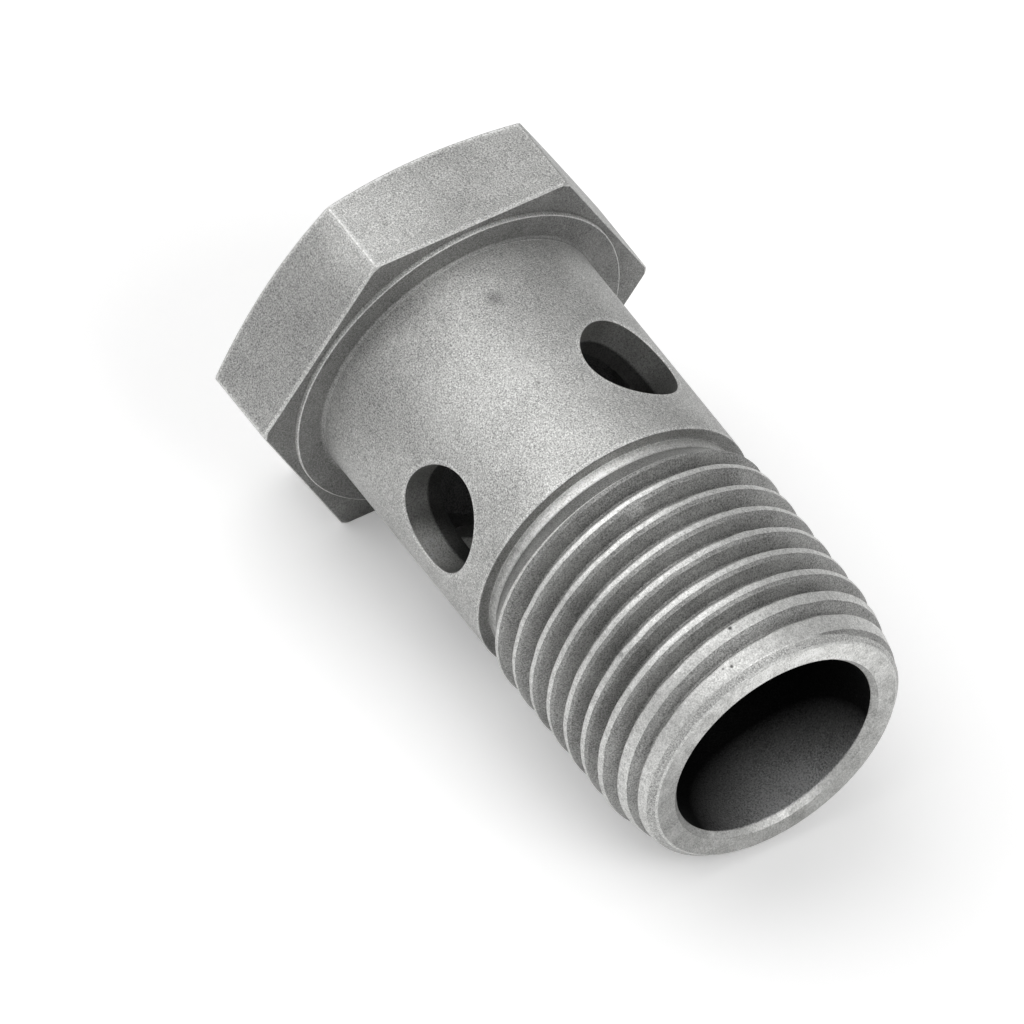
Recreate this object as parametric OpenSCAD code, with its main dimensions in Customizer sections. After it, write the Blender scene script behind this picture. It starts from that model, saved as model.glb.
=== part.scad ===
// Banjo bolt: a hollow screw with a hexagon head, a smooth shank crossed by two
// drillings, a short relief and a right-hand thread. A blind passage runs up from the
// threaded end, so that fluid can pass between the ports and the mouth.
//
// The bolt is drawn upright first, with z along its axis and z = 0 on the bearing
// face under the head. It is then laid down as it comes to rest on a flat surface,
// on the front edge of one hexagon flat and on the crest of the last full thread.

/* [Head] */
// Width across the hexagon flats
across_flats = 19; // [18.9:0.1:24]
// Amount by which the turned corners stay under the sharp hexagon
corner_turning = 0.1; // [0.06:0.02:0.6]
// Height of the head above the bearing face
head_height = 5.3; // [3.5:0.1:12]
// Slope of the chamfer that crowns the head
crown_angle = 18; // [10:1:35]
// Diameter of the flat left on top of the head
crown_d = 17.6; // [12:0.1:18.5]
// Diameter of the raised bearing face under the head
bearing_d = 18.3; // [17:0.1:18.8]
// Height by which the bearing face stands proud of the hexagon
bearing_step = 0.25; // [0.1:0.05:0.8]
// Height of the small bevel that breaks the hexagon corners under the head
corner_break = 0.1; // [0.05:0.05:0.5]

/* [Shank] */
// Diameter of the smooth shank
shank_d = 15.4; // [14.8:0.05:15.7]
// Length of the smooth shank, from the bearing face
shank_length = 13.65; // [12.5:0.05:20]
// Radius of the fillet between the shank and the bearing face
neck_fillet = 0.2; // [0.1:0.05:0.8]
// Diameter of the relief between the shank and the thread
relief_d = 14.2; // [13.8:0.1:14.7]
// Length of the flat bottom of the relief
relief_length = 0.65; // [0.3:0.05:3]
// Slope at which the relief rises to the thread
relief_rise = 35; // [25:1:60]

/* [Thread] */
// Diameter over the thread crests
thread_d = 15.75; // [15.5:0.05:16]
// Distance from one thread crest to the next
thread_pitch = 1.5; // [1.25:0.25:2]
// Angle between the two flanks of the thread
thread_angle = 60; // [55:1:60]
// Width of the flat crest of the thread
thread_crest = 0.38; // [0.2:0.02:0.5]
// Width of the flat root of the thread
thread_root = 0.2; // [0.15:0.05:0.35]
// Turn around the axis at which the thread starts, from level
thread_turn = -165; // [-180:1:180]
// Distance from the bearing face to the end of the bolt
under_head_length = 28; // [25:0.5:60]
// Length of the slender taper that leads into the thread
lead_taper = 3; // [1:0.1:5]
// Width of the bevel around the end face
end_bevel = 0.4; // [0.2:0.05:0.8]
// Diameter of the flat ring at the threaded end
end_face_d = 13.6; // [12.8:0.1:14]

/* [Passage] */
// Diameter of the central passage
passage_d = 11; // [8:0.1:11.6]
// Distance from the bearing face to the inner end of the full passage diameter
passage_floor = 5; // [3.6:0.1:7]
// Point angle of the drill that made the passage
drill_point_angle = 118; // [90:1:140]
// Width of the bevel at the mouth of the passage
mouth_bevel = 0.3; // [0.1:0.05:0.5]

/* [Ports] */
// Diameter of the cross drillings
port_d = 5.3; // [3:0.1:6]
// Distance from the bearing face to the first drilling
port_a_station = 8.5; // [7.5:0.1:9]
// Distance from the bearing face to the second drilling
port_b_station = 9.3; // [7.5:0.1:9.6]
// Turn of the first drilling around the axis, from level
port_turn = 61; // [0:1:180]
// Angle around the axis from the first drilling to the second
port_spread = 105; // [75:1:105]

/* [Hidden] */
$fn = 96;

// How far a cutter runs past the face that it opens
overrun = 1;
// A turn of 0 is level, to the side of the bolt as it lies
level = 90;
// Half of the angle between two hexagon corners
half_corner = 30;
// The crown falls from the flat top to the turned corners at its slope
sharp_corners = across_flats / cos(half_corner);
corner_r = (sharp_corners - corner_turning) / 2;
crown_drop = (corner_r - crown_d / 2) * tan(crown_angle);
// The relief starts with a square wall at the shank, and rises slowly to the thread
relief_r = relief_d / 2;
thread_r = thread_d / 2;
relief_end = shank_length + relief_length;
thread_start = relief_end + (thread_r - relief_r) / tan(relief_rise);
// The full crests end where the lead taper starts
bevel_start = under_head_length - end_bevel;
thread_end = bevel_start - lead_taper;
// The crest, the root and the slope of the flanks give the depth of the thread
flank_slope = tan(thread_angle / 2);
thread_depth = (thread_pitch - thread_crest - thread_root) / 2 / flank_slope;
// The groove is cut in straight chords, so many to a turn. It starts above the rise
// from the relief, and reaches its full depth after the chords of its run-in
groove_chords = 36;
run_in_chords = 18;
groove_start = (relief_end + thread_start) / 2;
// The drill leaves a cone at the bottom of the passage
passage_r = passage_d / 2;
drill_cone = passage_r / tan(drill_point_angle / 2);
// At rest the bolt leans from the hexagon flat down to the last full crest
rest_tilt = atan((across_flats / 2 - thread_r) / (thread_end + bearing_step));

// Hexagon blank, its corners turned round and its top crowned by a shallow cone
module hexagon_head() {
    intersection() {
        translate([0, 0, -head_height])
            rotate([0, 0, level])
                cylinder(h = head_height - bearing_step, d = sharp_corners, $fn = 6);
        rotate_extrude()
            polygon([
                [0, -head_height],
                [crown_d / 2, -head_height],
                [corner_r, -head_height + crown_drop],
                [corner_r, -bearing_step - corner_break],
                [corner_r - corner_break, -bearing_step],
                [0, -bearing_step]
            ]);
    }
}

// Everything that the lathe turns below the hexagon, as one profile
module turned_stem() {
    fillet_steps = 8;
    fillet = [for (i = [0 : fillet_steps])
        [shank_d / 2 + neck_fillet * (1 - sin(90 * i / fillet_steps)),
         neck_fillet * (1 - cos(90 * i / fillet_steps))]];
    rotate_extrude()
        polygon(concat(
            [[0, -head_height / 2], [bearing_d / 2, -head_height / 2], [bearing_d / 2, 0]],
            fillet,
            [
                [shank_d / 2, shank_length],
                [relief_r, shank_length],
                [relief_r, relief_end],
                [thread_r, thread_start],
                [thread_r, thread_end],
                [end_face_d / 2 + end_bevel, bevel_start],
                [end_face_d / 2, under_head_length],
                [0, under_head_length]
            ]
        ));
}

// The thread is the metal left standing beside this helical groove, which is swept
// as one closed solid: four corners to a section, one section to a chord
module thread_groove() {
    // the cutter reaches just past the crests, where its turns don't yet meet
    reach = thread_crest / 3;
    half_root = thread_root / 2;
    half_mouth = half_root + (thread_depth + reach) * flank_slope;
    chords = ceil(groove_chords * (under_head_length + overrun - groove_start) / thread_pitch);
    section_points = [for (i = [0 : chords])
        let (
            shallow = thread_depth * max(0, 1 - i / run_in_chords),
            root = thread_r - thread_depth + shallow,
            mouth = thread_r + reach + shallow,
            z = groove_start + thread_pitch * i / groove_chords,
            a = level + thread_turn + 360 * i / groove_chords
        )
        for (corner = [[root, -half_root], [mouth, -half_mouth], [mouth, half_mouth], [root, half_root]])
            [corner[0] * cos(a), corner[0] * sin(a), z + corner[1]]];
    sides = [for (i = [0 : chords - 1], k = [0 : 3])
        [4 * i + k, 4 * i + (k + 1) % 4, 4 * (i + 1) + (k + 1) % 4, 4 * (i + 1) + k]];
    first_cap = [3, 2, 1, 0];
    last_cap = [for (k = [0 : 3]) 4 * chords + k];
    polyhedron(section_points, concat([first_cap], sides, [last_cap]));
}

// Blind drilling from the threaded end, with its cone and the bevelled mouth
module passage() {
    mouth_r = passage_r + mouth_bevel;
    rotate_extrude()
        polygon([
            [0, passage_floor - drill_cone],
            [passage_r, passage_floor],
            [passage_r, under_head_length - mouth_bevel],
            [mouth_r, under_head_length],
            [mouth_r, under_head_length + overrun],
            [0, under_head_length + overrun]
        ]);
}

// One drilling right through the shank, which leaves a port on each side
module cross_drilling(station, turn) {
    translate([0, 0, station])
        rotate([0, 0, turn])
            rotate([90, 0, 0])
                cylinder(h = shank_d + 2 * overrun, d = port_d, center = true);
}

module banjo_bolt() {
    color("silver")
        rotate([0, 90 + rest_tilt, 0])
            difference() {
                union() {
                    hexagon_head();
                    turned_stem();
                }
                thread_groove();
                passage();
                cross_drilling(port_a_station, port_turn);
                cross_drilling(port_b_station, port_turn + port_spread);
            }
}

banjo_bolt();
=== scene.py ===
# %% [markdown]
# # A banjo bolt
# A banjo bolt is a hollow screw. Fluid from a ring-shaped fitting around its shank
# runs through the ports in its side, along the passage inside it and out of the
# threaded end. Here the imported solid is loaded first. It gives the place, the pose
# and the box that the finished bolt has to keep to.

# %% Load the solid
import math

import bpy
from mathutils import Matrix, Vector, noise


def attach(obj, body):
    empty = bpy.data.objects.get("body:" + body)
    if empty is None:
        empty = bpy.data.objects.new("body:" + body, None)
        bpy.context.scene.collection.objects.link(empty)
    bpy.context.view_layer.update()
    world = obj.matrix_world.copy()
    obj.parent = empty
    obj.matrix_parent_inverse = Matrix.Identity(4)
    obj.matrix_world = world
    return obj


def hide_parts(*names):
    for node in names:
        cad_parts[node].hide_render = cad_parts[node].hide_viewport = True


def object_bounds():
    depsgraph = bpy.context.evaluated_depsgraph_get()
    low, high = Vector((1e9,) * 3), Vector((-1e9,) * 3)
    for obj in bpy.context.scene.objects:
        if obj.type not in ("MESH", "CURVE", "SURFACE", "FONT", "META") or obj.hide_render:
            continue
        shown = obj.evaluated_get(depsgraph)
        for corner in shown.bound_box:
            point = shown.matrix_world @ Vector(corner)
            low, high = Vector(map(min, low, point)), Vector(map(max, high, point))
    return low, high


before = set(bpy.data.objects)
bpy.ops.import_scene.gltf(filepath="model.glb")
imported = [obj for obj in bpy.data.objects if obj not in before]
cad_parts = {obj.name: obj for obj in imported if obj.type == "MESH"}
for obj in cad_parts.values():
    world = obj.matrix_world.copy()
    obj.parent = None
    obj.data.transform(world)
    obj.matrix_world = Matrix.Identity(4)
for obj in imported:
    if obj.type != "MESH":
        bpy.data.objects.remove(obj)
cad_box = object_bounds()
print("solids:", sorted(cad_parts), "box in mm:",
      [round(1000 * side, 2) for side in cad_box[1] - cad_box[0]])

# %% [markdown]
# ## Sizes
# The bolt is drawn upright, with z = 0 on the bearing face under the head and the
# thread pointing up, in the sizes of a bolt with a 19 mm hexagon. All of them are
# in millimetres. One helper turns them into the metres that Blender works in.

# %% The bolt's sizes in millimetres
ACROSS_FLATS = 19
CORNER_TURNING = 0.1
HEAD_HEIGHT = 5.3
CROWN_ANGLE = 18
CROWN_D = 17.6
BEARING_D = 18.3
BEARING_STEP = 0.25
CORNER_BREAK = 0.1
SHANK_D = 15.4
SHANK_LENGTH = 13.65
NECK_FILLET = 0.2
RELIEF_D = 14.2
RELIEF_LENGTH = 0.65
RELIEF_RISE = 35
THREAD_D = 15.75
THREAD_PITCH = 1.5
THREAD_ANGLE = 60
THREAD_CREST = 0.38
THREAD_ROOT = 0.2
THREAD_TURN = -165
UNDER_HEAD_LENGTH = 28
LEAD_TAPER = 3
END_BEVEL = 0.4
END_FACE_D = 13.6
PASSAGE_D = 11
PASSAGE_FLOOR = 5
DRILL_POINT_ANGLE = 118
MOUTH_BEVEL = 0.3
PORT_D = 5.3
# Each cross drilling's distance from the bearing face and its turn round the axis in degrees
PORTS = [(8.5, 61), (9.3, 166)]
# A turn of 0 is level, to the side of the bolt as it lies
LEVEL = 90

SHANK_R, RELIEF_R, THREAD_R, PASSAGE_R = SHANK_D / 2, RELIEF_D / 2, THREAD_D / 2, PASSAGE_D / 2
SHARP_CORNERS = ACROSS_FLATS / math.cos(math.radians(30))
CORNER_R = (SHARP_CORNERS - CORNER_TURNING) / 2
RELIEF_END = SHANK_LENGTH + RELIEF_LENGTH
THREAD_START = RELIEF_END + (THREAD_R - RELIEF_R) / math.tan(math.radians(RELIEF_RISE))
THREAD_END = UNDER_HEAD_LENGTH - END_BEVEL - LEAD_TAPER
REST_TILT = math.atan((ACROSS_FLATS / 2 - THREAD_R) / (THREAD_END + BEARING_STEP))

# Facets around the turned surfaces, and how far a cutter stands past what it opens
AROUND = 192
OVERRUN = 1


def mm(size):
    return size / 1000


print("lies at", round(math.degrees(REST_TILT), 2), "degrees")

# %% [markdown]
# ## Finishes
# The whole bolt is carbon steel, and its surfaces differ by how they were made. The
# head and the shank were blasted with fine grit after turning, which leaves a matte
# grey skin with a fine sparkle. The thread was cut, so its flanks are duller and
# darker, and what touches other things first, the crests and the edges, is rubbed
# bright. The walls of the ports and of the passage keep drilling marks, and the
# passage's near-black tint is painted shade. The seat under the head and the step at
# the relief stay as turned, in a darker tint that is painted shade, and the end ring
# was faced. Some finishes also carry painted light and shade as marks. A metal has no
# diffuse colour of its own, so each finish is a metallic shader with its own tint,
# roughness and grain. The patterns read Object coordinates, and their scales come from
# sizes in millimetres.


# %% Helpers for a finish
def linear(hex_colour):
    """An sRGB hex colour as the linear colour that shaders take."""
    channels = [int(hex_colour[i:i + 2], 16) / 255 for i in (1, 3, 5)]
    return [c / 12.92 if c <= 0.04045 else ((c + 0.055) / 1.055) ** 2.4 for c in channels] + [1]


def per_metre(size):
    """The scale that gives a pattern features of this size in millimetres."""
    return 1000 / size


def add_node(tree, kind, settings=None, **links):
    """Adds a node, with its settings, and its inputs by name: a value or an output."""
    made = tree.nodes.new(kind)
    for name, value in (settings or {}).items():
        setattr(made, name, value)
    for name, value in links.items():
        socket = made.inputs[int(name[1:])] if name[1:].isdigit() else made.inputs[name.replace("_", " ")]
        if isinstance(value, bpy.types.NodeSocket):
            tree.links.new(value, socket)
        else:
            socket.default_value = value
    return made


def scaled(tree, colour, factor):
    """The colour made darker or lighter by a factor."""
    return add_node(tree, "ShaderNodeVectorMath", {"operation": "SCALE"}, _0=colour,
                    Scale=factor).outputs[0]


def carried(tree, value, start, end, at_start, at_end):
    """A value carried from one range over to another, and held at the ends."""
    return add_node(tree, "ShaderNodeMapRange", Value=value, From_Min=start, From_Max=end,
                    To_Min=at_start, To_Max=at_end).outputs[0]


# %% [markdown]
# ## What differs from place to place
# No used or stored part has the same tone all over. Stains and nicks are marks, each a
# place with a reach and a shade. Painted light and shade are marks of the same kind:
# lighter and darker areas on the head, the shank, the relief, the end ring, the seat
# under the head and in the ports and the passage, which stand in for how the light
# falls. The inner part of the ports' walls is darkened as painted shade, and outer edges
# are rubbed, which the shader finds by looking into the metal: near an outer edge, the
# other surface is close behind. Places are given as on a drawing, along and round the
# axis, and carried over to where they are once the bolt lies down.


# %% Helpers that shade a finish from place to place
def on_bolt(station, angle, radius):
    """The place in metres, once the bolt lies down, of a point given round its axis."""
    high, along = radius * math.sin(math.radians(angle)), station
    tip, lean = math.cos(REST_TILT), math.sin(REST_TILT)
    return Vector((mm(along * tip + high * lean), mm(radius * math.cos(math.radians(angle))),
                   mm(high * tip - along * lean)))


def marked(tree, place, colour, marks):
    """The colour with marks that have their full shade near the middle and fade to their reach."""
    for middle, reach_mm, shade in marks:
        far = add_node(tree, "ShaderNodeVectorMath", {"operation": "DISTANCE"}, _0=place, _1=middle)
        fade = carried(tree, far.outputs["Value"], mm(reach_mm) / 3, mm(reach_mm), shade, 1)
        colour = scaled(tree, colour, fade)
    return colour


def painted_shade_within(tree, place, colour, radius_mm, blur_mm=0.08, shade=0.22):
    """The colour darkened inside a radius around the bolt's axis: painted shade deep in the ports."""
    axis = (math.cos(REST_TILT), 0, -math.sin(REST_TILT))
    off_axis = add_node(tree, "ShaderNodeVectorMath", {"operation": "CROSS_PRODUCT"}, _0=place, _1=axis)
    radius = add_node(tree, "ShaderNodeVectorMath", {"operation": "LENGTH"}, _0=off_axis.outputs[0])
    fade = carried(tree, radius.outputs["Value"], mm(radius_mm - blur_mm), mm(radius_mm + blur_mm), shade, 1)
    return scaled(tree, colour, fade)


def rubbed_edges(tree, place, colour, width_mm, on_head=0.62, on_shank=0.16):
    """The colour lightened unevenly along outer edges, most on the head, which spanners grip."""
    inner = add_node(tree, "ShaderNodeAmbientOcclusion", {"samples": 8, "inside": True},
                     Distance=mm(width_mm))
    uneven = add_node(tree, "ShaderNodeTexNoise", Vector=place, Scale=per_metre(0.45), Detail=2)
    open_share = add_node(tree, "ShaderNodeMath", {"operation": "MULTIPLY_ADD"},
                          _0=uneven.outputs["Fac"], _1=0.12, _2=inner.outputs["AO"])
    rubbed = carried(tree, open_share.outputs[0], 1.01, 0.93, 0, 1)
    along = add_node(tree, "ShaderNodeSeparateXYZ", Vector=place)
    gain = carried(tree, along.outputs["X"], mm(-0.5), mm(0.5), on_head, on_shank)
    shade = add_node(tree, "ShaderNodeMath", {"operation": "MULTIPLY_ADD"}, _0=rubbed, _1=gain, _2=1)
    return scaled(tree, colour, shade.outputs[0])


# %% One blasted or machined steel
# Most of the noise lies between these values, so the tints and the roughness run between them
NOISE_LOW, NOISE_HIGH = 0.34, 0.66
# How much rougher the pits of the grain are than its middle, and how much smoother its peaks
PITS_ROUGHER, PEAKS_SMOOTHER = 0.07, 0.05
RING_DEPTH_MM = 0.01


def steel(name, dark, light, roughness, grain_mm, grain_depth_mm, patch_mm=2.2, ring_mm=None,
          patch_share=0.25, marks=(), painted_shade_inside_mm=None, worn_edge_mm=None):
    """A steel finish: grain between two tints, wider patches, rings if drilled, and marks by place, some of
    them painted light and shade.
    """
    finish = bpy.data.materials.new(name)
    finish.use_nodes = True
    tree = finish.node_tree
    shader = tree.nodes["Principled BSDF"]
    shader.inputs["Metallic"].default_value = 1
    place = add_node(tree, "ShaderNodeTexCoord").outputs["Object"]
    grain = add_node(tree, "ShaderNodeTexNoise", Vector=place, Scale=per_metre(grain_mm),
                     Detail=2, Roughness=0.7).outputs["Fac"]
    patches = add_node(tree, "ShaderNodeTexNoise", Vector=place, Scale=per_metre(patch_mm),
                       Detail=4, Roughness=0.6).outputs["Fac"]
    speck = add_node(tree, "ShaderNodeMath", {"operation": "MULTIPLY"}, _0=grain, _1=1 - patch_share)
    mottle = add_node(tree, "ShaderNodeMath", {"operation": "MULTIPLY_ADD"},
                      _0=patches, _1=patch_share, _2=speck.outputs[0]).outputs[0]
    tint = add_node(tree, "ShaderNodeValToRGB", _0=mottle)
    for stop, position, tone in zip(tint.color_ramp.elements, (NOISE_LOW, NOISE_HIGH), (dark, light)):
        stop.position, stop.color = position, linear(tone)
    colour = marked(tree, place, tint.outputs["Color"], marks)
    if painted_shade_inside_mm:
        colour = painted_shade_within(tree, place, colour, painted_shade_inside_mm)
    if worn_edge_mm:
        colour = rubbed_edges(tree, place, colour, worn_edge_mm)
    tree.links.new(colour, shader.inputs["Base Color"])
    rough = carried(tree, mottle, NOISE_LOW, NOISE_HIGH, roughness + PITS_ROUGHER, roughness - PEAKS_SMOOTHER)
    tree.links.new(rough, shader.inputs["Roughness"])
    bump = add_node(tree, "ShaderNodeBump", Strength=1, Distance=mm(grain_depth_mm), Height=grain)
    if ring_mm:
        # a band texture repeats about twenty times for a scale of one
        rings = add_node(tree, "ShaderNodeTexWave", {"wave_type": "BANDS", "bands_direction": "X"},
                         Vector=place, Scale=per_metre(ring_mm) / 20, Distortion=1.5, Detail=2)
        bump = add_node(tree, "ShaderNodeBump", Strength=0.6, Distance=mm(RING_DEPTH_MM),
                        Height=rings.outputs["Fac"], Normal=bump.outputs[0])
    tree.links.new(bump.outputs[0], shader.inputs["Normal"])
    print("finish:", name)
    return finish


# %% Marks on the bolt, as place, reach in millimetres and shade at the middle
STAINS_AND_PAINTED_LIGHT = [
    # the first two are real stains, the last three are painted light and shade
    (on_bolt(2.89, 94.4, 7.7), 0.62, 0.66),
    (on_bolt(8.25, 101.8, 7.7), 0.2, 0.7),
    # painted highlight over the shank towards the relief
    (on_bolt(12, 112, 7.7), 8, 1.14),
    # painted highlight at the left end of the upper flat
    (on_bolt(-3, 115, 10.5), 4, 1.42),
    # painted shade over the left flat
    (on_bolt(-3.2, 148, 10.6), 9, 0.8),
]
# painted shade over one side of the seat under the head and its bright rim
PAINTED_SHADE_UNDER_HEAD = [(on_bolt(0, 42, 8.5), 8, 0.72)]
NICKS_AND_PAINTED_HIGHLIGHT = [
    # painted highlight on the relief and the first crests
    (on_bolt(14, 118, 7.1), 5.5, 1.3),
    # real nicks and a burr on the crests
    (on_bolt(25.55, 103.7, 7.66), 0.14, 0.15),
    (on_bolt(27.15, 111.7, 7.3), 0.12, 0.2),
    (on_bolt(27, 114.8, 7.34), 0.09, 0.3),
    (on_bolt(22.82, 140, 7.87), 0.2, 0.55),
]
# painted light in the passage: strongest on the lower side of its mouth, and broad where the ports open into
# it
PAINTED_LIGHT_IN_PASSAGE = [
    (on_bolt(28.5, 290, 5.5), 5.7, 36),
    (on_bolt(9, 0, 0), 9.5, 13),
]
# painted light on one port's lower wall near its mouth
PAINTED_LIGHT_ON_PORT_WALL = [(on_bolt(9, -171.5, 7.1), 1.9, 2.9)]
# painted highlight over the upper part of the end ring, and painted shade on its left side
PAINTED_LIGHT_ON_END_RING = [
    (on_bolt(28, 80, 6.2), 7.5, 1.5),
    (on_bolt(28, 195, 6.2), 5, 0.8),
]

# %% The bolt's seven finishes
FINISHES = [
    steel("blasted_steel_stains_and_painted_light", "#888887", "#E4E4E2", 0.56, 0.075, 0.024,
          patch_share=0.16, marks=STAINS_AND_PAINTED_LIGHT, worn_edge_mm=0.26),
    steel("rubbed_steel_with_painted_light_and_shade", "#ACACAA", "#F8F8F6", 0.46, 0.08, 0.016,
          patch_mm=0.3, patch_share=0.35, marks=NICKS_AND_PAINTED_HIGHLIGHT + PAINTED_SHADE_UNDER_HEAD),
    steel("cut_thread_steel", "#6A6A69", "#C2C2C0", 0.52, 0.08, 0.024),
    # the ports' walls: painted shade inside 6.3 mm of the axis, and painted light from their mark
    steel("drilled_steel_painted_light_and_shade", "#727270", "#B2B2B0", 0.5, 0.08, 0.02,
          ring_mm=0.5, marks=PAINTED_LIGHT_ON_PORT_WALL, painted_shade_inside_mm=6.3),
    # the passage: a near-black tint that is painted shade, with painted light near its mouth and the ports
    steel("drilled_passage_painted_shade_and_light", "#181818", "#363636", 0.55, 0.09, 0.02,
          ring_mm=0.5, marks=PAINTED_LIGHT_IN_PASSAGE),
    steel("faced_steel_painted_light_and_shade", "#9A9A98", "#E4E4E2", 0.48, 0.09, 0.016,
          patch_mm=0.9, patch_share=0.4, marks=PAINTED_LIGHT_ON_END_RING),
    # turned steel whose darker tint is painted shade on the seat under the head and the step at the relief
    steel("turned_steel_painted_shade", "#6C6C6B", "#B0B0AE", 0.55, 0.08, 0.018, marks=PAINTED_SHADE_UNDER_HEAD),
]
BLASTED, RUBBED, CUT, DRILLED, PASSAGE, FACED, TURNED_PAINTED_SHADE = range(len(FINISHES))

# %% [markdown]
# ## Turning on the lathe
# The stem, the crown of the head and the drilled passage are all turned shapes. Each
# could be a line with a Screw modifier, but a ring that is extruded and resized again
# and again, like metal following the tool, needs no modifier and is easy to follow.
# Every corner of the profile is eased first, because no real edge is perfectly sharp.
# Solids are joined and cut by exact booleans, which need closed meshes. Where one
# leaves points on the same spot, they are merged, so that no seam stays open for the
# next cut to misread.


# %% Helpers for modelling
# Points of a new piece, and points left by a cut, that are nearer than this are one point
SEAM, SAME_SPOT = 0.0005, 0.00002


def start_clean():
    """Leaves nothing selected, in object mode."""
    if bpy.context.object and bpy.context.object.mode != "OBJECT":
        bpy.ops.object.mode_set(mode="OBJECT")
    bpy.ops.object.select_all(action="DESELECT")


def take(piece):
    """Makes a piece the one that the next operators work on."""
    start_clean()
    piece.select_set(True)
    bpy.context.view_layer.objects.active = piece


def merge_points(piece, nearer_than):
    """Merges points that are nearer to each other than this, and leaves edit mode on with all selected."""
    take(piece)
    bpy.ops.object.mode_set(mode="EDIT")
    bpy.ops.mesh.select_all(action="SELECT")
    bpy.ops.mesh.remove_doubles(threshold=mm(nearer_than))


def face_outwards(piece):
    """Closes a piece's seams, turns its faces outward and applies where it stands."""
    merge_points(piece, SEAM)
    bpy.ops.mesh.normals_make_consistent(inside=False)
    bpy.ops.object.mode_set(mode="OBJECT")
    bpy.ops.object.transform_apply(location=True, rotation=True, scale=True)


def give_finishes(piece, index):
    """Gives a piece all finishes, so that they keep their numbers when solids are joined."""
    piece.data.materials.clear()
    for finish in FINISHES:
        piece.data.materials.append(finish)
    piece.data.polygons.foreach_set("material_index", [index] * len(piece.data.polygons))


def eased(profile, ease, steps=4):
    """The profile with a small curve at each corner, well short of the next one."""
    points = [profile[0]]
    for before, corner, after in zip(profile, profile[1:], profile[2:]):
        on = Vector(corner)
        back, tip = Vector(before) - on, Vector(after) - on
        reach = min(ease, back.length * 0.4, tip.length * 0.4)
        first, last = on + back.normalized() * reach, on + tip.normalized() * reach
        for step in range(steps + 1):
            t = step / steps
            points.append(tuple(first * (1 - t) ** 2 + on * 2 * t * (1 - t) + last * t * t))
    return points + [profile[-1]]


def turn(name, profile, index):
    """A closed turned shape from (radius, height) pairs, lowest first."""
    start_clean()
    (r, z), *rest = profile
    bpy.ops.mesh.primitive_circle_add(vertices=AROUND, radius=mm(r), fill_type="NGON",
                                      location=(0, 0, mm(z)))
    piece = bpy.context.object
    piece.name = name
    bpy.ops.object.mode_set(mode="EDIT")
    bpy.ops.mesh.select_all(action="SELECT")
    for next_r, next_z in rest:
        bpy.ops.mesh.extrude_region_move(TRANSFORM_OT_translate={"value": (0, 0, mm(next_z - z))})
        bpy.ops.transform.resize(value=(next_r / r, next_r / r, 1), center_override=(0, 0, mm(next_z)))
        r, z = next_r, next_z
    face_outwards(piece)
    give_finishes(piece, index)
    print(name, "has", len(piece.data.polygons), "faces")
    return piece


def join_solids(piece, tool, operation):
    """Adds a solid to the piece, cuts it away or keeps what both share, and removes the tool."""
    take(piece)
    solver = piece.modifiers.new(operation.lower(), "BOOLEAN")
    solver.operation = operation
    solver.solver = "EXACT"
    solver.material_mode = "TRANSFER"
    solver.object = tool
    bpy.ops.object.modifier_apply(modifier=solver.name)
    bpy.data.objects.remove(tool, do_unlink=True)
    merge_points(piece, SAME_SPOT)
    bpy.ops.object.mode_set(mode="OBJECT")


# %% [markdown]
# ## The stem
# Everything below the hexagon is one turned profile: the raised bearing face, the
# fillet at the neck, the smooth shank, the relief that lets a nut or a port run up to
# the shank, the blank for the thread and its slender lead taper. Extra rings along
# the shank keep its faces short, so that the light runs evenly over them.

# %% Turn the stem
FILLET_STEPS = 8
SEAT_EASE, STEM_EASE = 0.06, 0.1
fillet = [(SHANK_R + NECK_FILLET * (1 - math.sin(a)), NECK_FILLET * (1 - math.cos(a)))
          for a in (math.radians(90 * i / FILLET_STEPS) for i in range(FILLET_STEPS + 1))]
shank_rings = [(SHANK_R, z) for z in range(1, int(SHANK_LENGTH))]
bearing = eased([(BEARING_D / 2, -HEAD_HEIGHT / 2), (BEARING_D / 2, 0), fillet[0]], SEAT_EASE)
stem_end = eased([
    shank_rings[-1],
    (SHANK_R, SHANK_LENGTH),
    (RELIEF_R, SHANK_LENGTH),
    (RELIEF_R, RELIEF_END),
    (THREAD_R, THREAD_START),
    (THREAD_R, THREAD_END),
    (END_FACE_D / 2 + END_BEVEL, UNDER_HEAD_LENGTH - END_BEVEL),
    (END_FACE_D / 2, UNDER_HEAD_LENGTH),
    (PASSAGE_R / 2, UNDER_HEAD_LENGTH),
], STEM_EASE)
stem = turn("stem", bearing + fillet[1:] + shank_rings[:-1] + stem_end, BLASTED)

# %% [markdown]
# ## The head
# The head is upset from bar and trimmed to a hexagon, and its top is crowned on the
# lathe, so each flat ends in a shallow arc. A six-sided cylinder, kept only where it
# lies inside a turned crown, gives exactly those arcs. The sharp edges are bevelled
# afterwards, and the bevels and the turned corners get the bright, rubbed finish.


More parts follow.
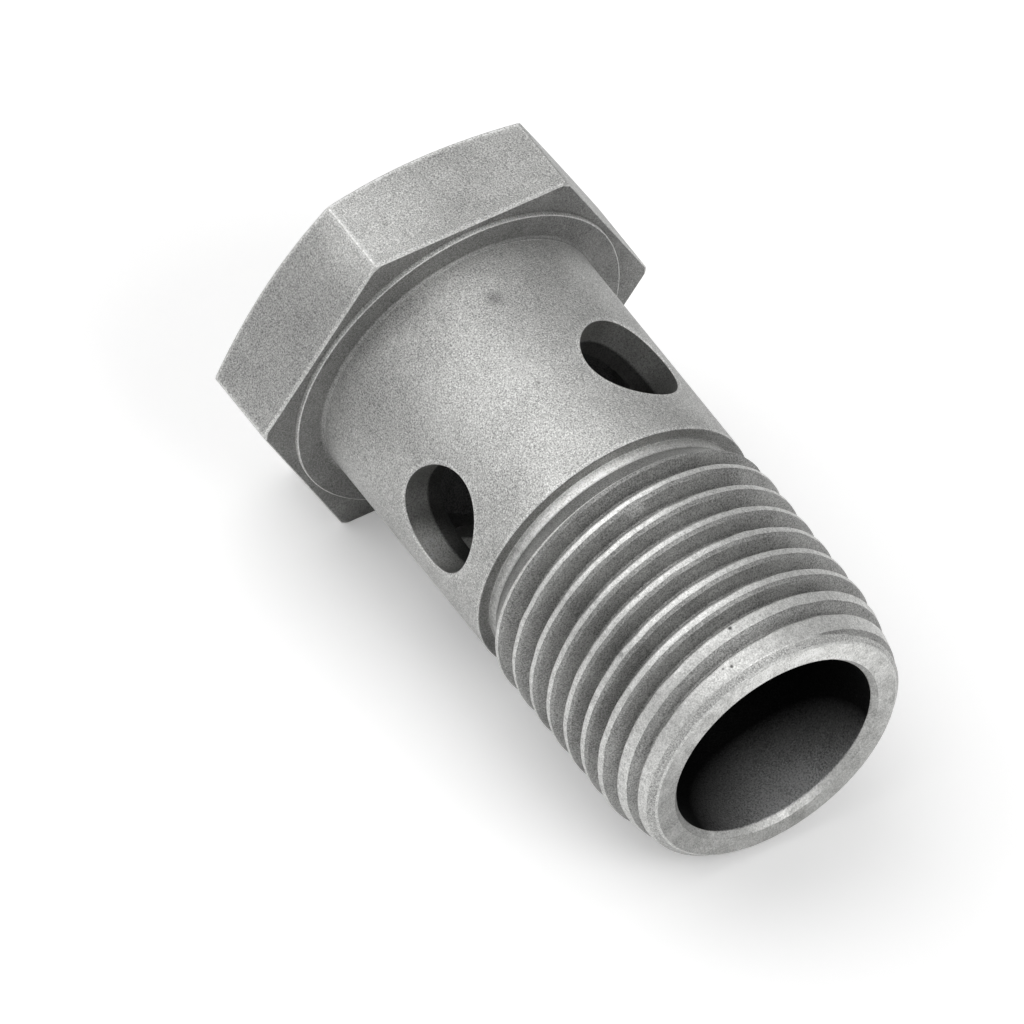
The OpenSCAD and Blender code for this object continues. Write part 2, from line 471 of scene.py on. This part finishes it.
# %% Helper that bevels sharp edges and rubs them bright
def rub_edges(piece, width, degrees):
    """Bevels the edges that bend by more than so many degrees, in the bright finish."""
    take(piece)
    bpy.ops.object.mode_set(mode="EDIT")
    bpy.ops.mesh.select_mode(type="EDGE")
    bpy.ops.mesh.select_all(action="DESELECT")
    bpy.ops.object.mode_set(mode="OBJECT")
    beside = {}
    for polygon in piece.data.polygons:
        for key in polygon.edge_keys:
            beside.setdefault(key, []).append(polygon.normal)
    for edge in piece.data.edges:
        normals = beside[edge.key]
        edge.select = len(normals) == 2 and normals[0].angle(normals[1], 0) > math.radians(degrees)
    bpy.ops.object.mode_set(mode="EDIT")
    bpy.ops.mesh.bevel(offset=mm(width), offset_type="OFFSET", segments=3, profile=0.5, affect="EDGES",
                       clamp_overlap=True, material=RUBBED)
    bpy.ops.object.mode_set(mode="OBJECT")


# %% Model the hexagon and crown it
EDGE_BEVEL = 0.06
SHARP = 40
start_clean()
bpy.ops.mesh.primitive_cylinder_add(vertices=6, radius=mm(SHARP_CORNERS / 2),
                                    depth=mm(HEAD_HEIGHT - BEARING_STEP),
                                    location=(0, 0, mm(-(HEAD_HEIGHT + BEARING_STEP) / 2)))
head = bpy.context.object
head.name = "head"
# the first corner of the primitive already points along +Y, where a corner belongs
bpy.ops.object.transform_apply(location=True, rotation=True, scale=True)
give_finishes(head, BLASTED)
crown = turn("crown", [
    (PASSAGE_R, -HEAD_HEIGHT),
    (CROWN_D / 2, -HEAD_HEIGHT),
    (CORNER_R, -HEAD_HEIGHT + (CORNER_R - CROWN_D / 2) * math.tan(math.radians(CROWN_ANGLE))),
    (CORNER_R, -BEARING_STEP - CORNER_BREAK),
    (CORNER_R - CORNER_BREAK, -BEARING_STEP),
    (PASSAGE_R, -BEARING_STEP),
], BLASTED)
# where the turned crown is widest it has cut the corners, and they are rubbed bright
for polygon in crown.data.polygons:
    if polygon.normal.xy.length > 0.99:
        polygon.material_index = RUBBED
join_solids(head, crown, "INTERSECT")
rub_edges(head, EDGE_BEVEL, SHARP)
join_solids(stem, head, "UNION")
bolt = stem
bolt.name = "machined_banjo_bolt"
print("head and stem have", len(bolt.data.polygons), "faces")

# %% [markdown]
# ## The thread
# A right-hand thread is what stands beside one long helical groove. The groove's
# section is drawn once as a small polygon, with a narrow root, two flanks at 60
# degrees to each other, lips that round the crests and a roof well above them. The
# Screw modifier winds it up the bolt, and the wound solid is cut away. The first part
# of the groove is moved outwards so that it comes in gently, as where a thread-cutting
# tool enters. No real crest has an even width, so the lips wander a little, and they
# follow the lead taper down, where a cutter would leave the crests wide and dull.

# %% Wind the groove
CHORDS = 96
# Degrees over which the groove comes in
RUN_IN = 180
# Height of the rounding of the crests on the head's side of the groove, and on the other
LIP = 0.05
SHOULDER = 0.11
# How far the groove's root corners are rounded
ROOT_EASE = 0.04
flank = math.tan(math.radians(THREAD_ANGLE / 2))
thread_depth = (THREAD_PITCH - THREAD_CREST - THREAD_ROOT) / 2 / flank
root_r = THREAD_R - thread_depth
groove_start = (RELIEF_END + THREAD_START) / 2
turns = math.ceil((UNDER_HEAD_LENGTH + OVERRUN - groove_start) / THREAD_PITCH)


def groove_side(lip):
    """One side of the groove's section, from its root up a flank and round the crest."""
    top = THREAD_ROOT / 2 + (thread_depth - lip) * flank
    rounding = [(THREAD_R - lip * inwards, top + lip * sideways)
                for inwards, sideways in ((1, 0), (0.45, 0.9), (0.1, 1.8))]
    return [(root_r, THREAD_ROOT / 2 - ROOT_EASE), (root_r + ROOT_EASE, THREAD_ROOT / 2), *rounding,
            (THREAD_R + 0.03, top + lip * 2.6), (THREAD_R + 0.3, top)]


section = groove_side(LIP) + [(r, -half) for r, half in reversed(groove_side(SHOULDER))]

start_clean()
bpy.ops.mesh.primitive_circle_add(vertices=len(section), radius=mm(1), fill_type="NGON")
groove = bpy.context.object
groove.name = "groove"
for vertex, (r, half) in zip(groove.data.vertices, section):
    vertex.co = (mm(r), 0, mm(half))
winding = groove.modifiers.new("winding", "SCREW")
winding.axis = "Z"
winding.angle = 2 * math.pi
winding.steps = winding.render_steps = CHORDS
winding.iterations = turns
winding.screw_offset = mm(THREAD_PITCH)
winding.use_normal_calculate = True
bpy.ops.object.modifier_apply(modifier=winding.name)
columns = len(groove.data.vertices) // len(section)
print("groove has", len(groove.data.vertices), "points in", columns, "sections,", turns, "turns")

# %% Let the groove come in gently, and its lips follow the lead taper
# How much wider the crests are at both ends of the thread than in the middle of it
CREST_GROWTH = 0.2
# Share of that growth that each millimetre of the lead taper takes away
TAPER_LOSS = 0.5
# How far the lips wander, and how fast from column to column
WANDER, WANDER_RATE = 0.05, 0.45
run_in_columns = CHORDS * RUN_IN / 360
lips = {number for number, (r, half) in enumerate(section) if r > THREAD_R - SHOULDER * 1.01}
taper_fall = (THREAD_R - END_FACE_D / 2 - END_BEVEL) / LEAD_TAPER
for number, vertex in enumerate(groove.data.vertices):
    column, corner = divmod(number, len(section))
    grow = thread_depth * max(0, 1 - column / run_in_columns)
    distance = math.hypot(vertex.co.x, vertex.co.y)
    if corner in lips:
        side = math.copysign(1, section[corner][1])
        past_taper = max(0, groove_start + vertex.co.z * 1000 - THREAD_END)
        drop = min(past_taper * taper_fall / (1 + side * taper_fall * flank), thread_depth - 2 * SHOULDER)
        uneven = WANDER * noise.noise(Vector((column * WANDER_RATE, 5 * side, 0)))
        # the shoulders that face the head stay, and the others make the first crests the narrowest
        if side < 0:
            growth = max(column / columns, 1 - column / CHORDS) - TAPER_LOSS * past_taper
            uneven += CREST_GROWTH * growth
        vertex.co.z -= mm(side * (drop * flank + uneven))
        grow -= drop
    vertex.co.x *= 1 + mm(grow) / distance
    vertex.co.y *= 1 + mm(grow) / distance
print("the groove's lips fall by", round(taper_fall, 3), "mm for each mm of the lead taper")

# %% Close the groove and cut it
take(groove)
bpy.ops.object.mode_set(mode="EDIT")
bpy.ops.mesh.select_all(action="SELECT")
bpy.ops.mesh.fill_holes(sides=0)
bpy.ops.object.mode_set(mode="OBJECT")
groove.rotation_euler.z = math.radians(LEVEL + THREAD_TURN)
groove.location.z = mm(groove_start)
face_outwards(groove)
give_finishes(groove, CUT)
# the lips of the cutter leave the rubbed shoulders of the crests
lip_points = {c * len(section) + n for c in range(columns) for n in lips
              if section[n][1] > 0 or section[n][0] > THREAD_R - SHOULDER * 0.2}
for polygon in groove.data.polygons:
    if len(polygon.vertices) == 4 and set(polygon.vertices) <= lip_points:
        polygon.material_index = RUBBED
join_solids(bolt, groove, "DIFFERENCE")
print("threaded bolt has", len(bolt.data.polygons), "faces")

# %% [markdown]
# ## The passage and the ports
# A drill of 11 mm makes the passage from the threaded end and leaves a cone where it
# stops. Two smaller drillings go right through the shank and break into the passage.
# A plain cylinder would leave razor edges, so each cutter widens by a hair where it
# meets the shank, and its ends are draped over the shank's curve to keep that hair
# the same all round, as deburring does. The grit has reached that hair too.

# %% Drill the passage
PASSAGE_EASE = 0.08
cone = PASSAGE_R / math.tan(math.radians(DRILL_POINT_ANGLE / 2))
# Radius of the small flat that a drill's chisel edge leaves at its point
chisel_r = 0.3
mouth_r = PASSAGE_R + MOUTH_BEVEL
passage = turn("passage", eased([
    (chisel_r, PASSAGE_FLOOR - cone * (1 - chisel_r / PASSAGE_R)),
    (PASSAGE_R, PASSAGE_FLOOR),
    (PASSAGE_R, UNDER_HEAD_LENGTH - MOUTH_BEVEL),
    (mouth_r, UNDER_HEAD_LENGTH),
    (mouth_r, UNDER_HEAD_LENGTH + OVERRUN),
], PASSAGE_EASE), PASSAGE)
join_solids(bolt, passage, "DIFFERENCE")

# %% Drill the ports
DEBURR = 0.07
for station, turned in PORTS:
    half = [(PORT_D / 2, SHANK_R - DEBURR), (PORT_D / 2 + 2 * DEBURR, SHANK_R + DEBURR),
            (PORT_D / 2 + 2 * DEBURR, SHANK_R + OVERRUN)]
    drilling = turn("drilling", [(r, -z) for r, z in reversed(half)] + half, DRILLED)
    for polygon in drilling.data.polygons:
        if SHANK_R - DEBURR < abs(polygon.center.z) * 1000 < SHANK_R + DEBURR:
            polygon.material_index = BLASTED
    for vertex in drilling.data.vertices:
        if abs(vertex.co.z) < mm(SHANK_R + OVERRUN / 2):
            drop = SHANK_R - math.sqrt(SHANK_R ** 2 - (vertex.co.y * 1000) ** 2)
            vertex.co.z -= math.copysign(mm(drop), vertex.co.z)
    drilling.rotation_euler = (0, math.radians(90), math.radians(LEVEL + turned))
    drilling.location.z = mm(station)
    face_outwards(drilling)
    join_solids(bolt, drilling, "DIFFERENCE")
print("drilled bolt has", len(bolt.data.polygons), "faces")

# %% [markdown]
# ## Finishes by place
# The cutters have left their own finishes on the walls they made. What is left of the
# turned skin is sorted by place. The end ring is faced, its rim, the crests and the
# relief are rubbed bright, the rise from the relief is cut, and the seat under the
# head and the step at the shank's end stay as turned, in a darker tint that is painted
# shade, but for the seat's bright rim.

# %% Sort the turned skin by place
# Width of a rubbed rim, the rounding of an edge that still belongs to what is before it, and how
# far the step at the shank's end reaches into the shank's rounded edge
RIM = 0.08
ROUNDING = 0.05
STEP_EDGE = 0.03


def finish_at(height, radius, facing_end):
    """The finish of the turned skin by its height, its radius and how far it faces the threaded end."""
    if height > UNDER_HEAD_LENGTH - ROUNDING / 10:
        return FACED
    if height > UNDER_HEAD_LENGTH - RIM:
        return RUBBED
    if height > UNDER_HEAD_LENGTH - END_BEVEL + ROUNDING:
        return BLASTED
    if height > THREAD_START - 2 * ROUNDING:
        return RUBBED
    if height > RELIEF_END + ROUNDING:
        return CUT
    if height > SHANK_LENGTH + ROUNDING:
        return RUBBED
    # the step and the seat face the threaded end, and their turned finish carries painted shade
    if height > SHANK_LENGTH - STEP_EDGE and facing_end > 0.5:
        return TURNED_PAINTED_SHADE
    if -BEARING_STEP * 1.5 < height < NECK_FILLET and facing_end > 0.3:
        return RUBBED if BEARING_D / 2 - RIM < radius < BEARING_D / 2 else TURNED_PAINTED_SHADE
    return BLASTED


for polygon in bolt.data.polygons:
    height, radius = polygon.center.z * 1000, math.hypot(*polygon.center.xy) * 1000
    if polygon.material_index == PASSAGE and height > UNDER_HEAD_LENGTH - MOUTH_BEVEL:
        polygon.material_index = FACED
    elif polygon.material_index == BLASTED:
        polygon.material_index = finish_at(height, radius, polygon.normal.z)
print("faces by finish:", [sum(p.material_index == i for p in bolt.data.polygons)
                           for i in range(len(FINISHES))])

# %% [markdown]
# ## At rest
# Nothing holds the bolt up, so it lies where gravity leaves it: on the front edge of
# one flat of its hexagon and on the crest of the last full turn of thread. It is
# turned about its own bearing face and set down, and the turn is applied to the mesh.

# %% Lay the bolt down
# Degrees up to which a bend is shaded as smooth
SMOOTH_UP_TO = 28
take(bolt)
bolt.rotation_euler.y = math.radians(90) + REST_TILT
bpy.ops.object.transform_apply(location=True, rotation=True, scale=True)
bpy.ops.object.shade_smooth_by_angle(angle=math.radians(SMOOTH_UP_TO))
evenly = bolt.modifiers.new("flat faces stay flat", "WEIGHTED_NORMAL")
evenly.keep_sharp = True
bpy.ops.object.modifier_apply(modifier=evenly.name)
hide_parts("banjo_bolt")
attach(bolt, "root")
print("bolt has", sum(len(p.vertices) - 2 for p in bolt.data.polygons), "triangles")

# %% [markdown]
# ## Floor and light
# The bolt lies on a plain white table. One large softbox hangs above it, a little
# behind the head and to the left, so that surfaces facing the threaded end fall into
# shade, and a small one in front lights the end ring and the crests. The table throws
# light back up, and a pale grey room fills in the rest. The camera sees the table a
# little brighter than the bolt does, as the paper-white of an overexposed backdrop.

# %% Floor, softboxes and room
TABLE_SIZE = 4
TABLE_LIFT = 0.2
start_clean()
bpy.ops.mesh.primitive_plane_add(size=TABLE_SIZE, location=(0, 0, cad_box[0].z))
table = bpy.context.object
table.name = "table"
table_paint = bpy.data.materials.new("white_table_paint")
table_paint.use_nodes = True
paint = table_paint.node_tree.nodes["Principled BSDF"]
paint.inputs["Base Color"].default_value = linear("#FAFAFA")
paint.inputs["Roughness"].default_value = 0.9
ray = add_node(table_paint.node_tree, "ShaderNodeLightPath")
paint.inputs["Emission Color"].default_value = linear("#FFFFFF")
lift = add_node(table_paint.node_tree, "ShaderNodeMath", {"operation": "MULTIPLY"},
                _0=ray.outputs["Is Camera Ray"], _1=TABLE_LIFT)
table_paint.node_tree.links.new(lift.outputs[0], paint.inputs["Emission Strength"])
table.data.materials.append(table_paint)

# Each softbox by its name, side in metres, power in watts and place
SOFTBOXES = [("softbox", 1.6, 8.5, (-0.5, -0.35, 1)), ("front_softbox", 0.5, 2.5, (0.75, 0.1, 0.65))]
for name, side, watts, place in SOFTBOXES:
    softbox = bpy.data.objects.new(name, bpy.data.lights.new(name, "AREA"))
    softbox.data.shape = "SQUARE"
    softbox.data.size = side
    softbox.data.energy = watts
    softbox.location = place
    softbox.rotation_euler = (-softbox.location).to_track_quat("-Z", "Y").to_euler()
    bpy.context.scene.collection.objects.link(softbox)

world = bpy.data.worlds.new("pale_room")
bpy.context.scene.world = world
world.use_nodes = True
room = world.node_tree.nodes["Background"]
room.inputs["Color"].default_value = linear("#E6E6E6")
room.inputs["Strength"].default_value = 0.6
print("lit by", len(SOFTBOXES), "softboxes and a pale room")

# %% [markdown]
# ## Camera
# The photograph looks down on the bolt from its threaded end, with a long lens, so
# the camera is orthographic. The angles below are the view's direction around the
# bolt, its height above the table and its roll. The scale is in pixels of a picture
# of 1024 by 1024, and the centre of the picture is given from the bolt's origin.

# %% Aim the camera
AZIMUTH, ELEVATION, ROLL = math.radians(53.98), math.radians(46.33), math.radians(3.96)
PICTURE = 1024
PIXELS_PER_MM = 20.95
CENTRE_RIGHT, CENTRE_UP = 2.54, -7.37
DISTANCE = 0.5
back = Vector((math.sin(AZIMUTH) * math.cos(ELEVATION), -math.cos(AZIMUTH) * math.cos(ELEVATION),
               math.sin(ELEVATION)))
level_right = Vector((math.cos(AZIMUTH), math.sin(AZIMUTH), 0))
level_up = back.cross(level_right)
right = level_right * math.cos(ROLL) + level_up * math.sin(ROLL)
up = back.cross(right)
camera = bpy.data.objects.new("camera", bpy.data.cameras.new("camera"))
bpy.context.scene.collection.objects.link(camera)
camera.data.type = "ORTHO"
camera.data.ortho_scale = mm(PICTURE / PIXELS_PER_MM)
camera.data.clip_end = 10
camera.rotation_mode = "QUATERNION"
axes = [[right[i], up[i], back[i]] for i in range(3)]
camera.rotation_quaternion = Matrix(axes).to_quaternion()
camera.location = right * mm(CENTRE_RIGHT) + up * mm(CENTRE_UP) + back * DISTANCE
bpy.context.scene.camera = camera
bpy.context.scene.view_settings.view_transform = "Standard"
print("camera shows", round(PICTURE / PIXELS_PER_MM, 2), "mm across")
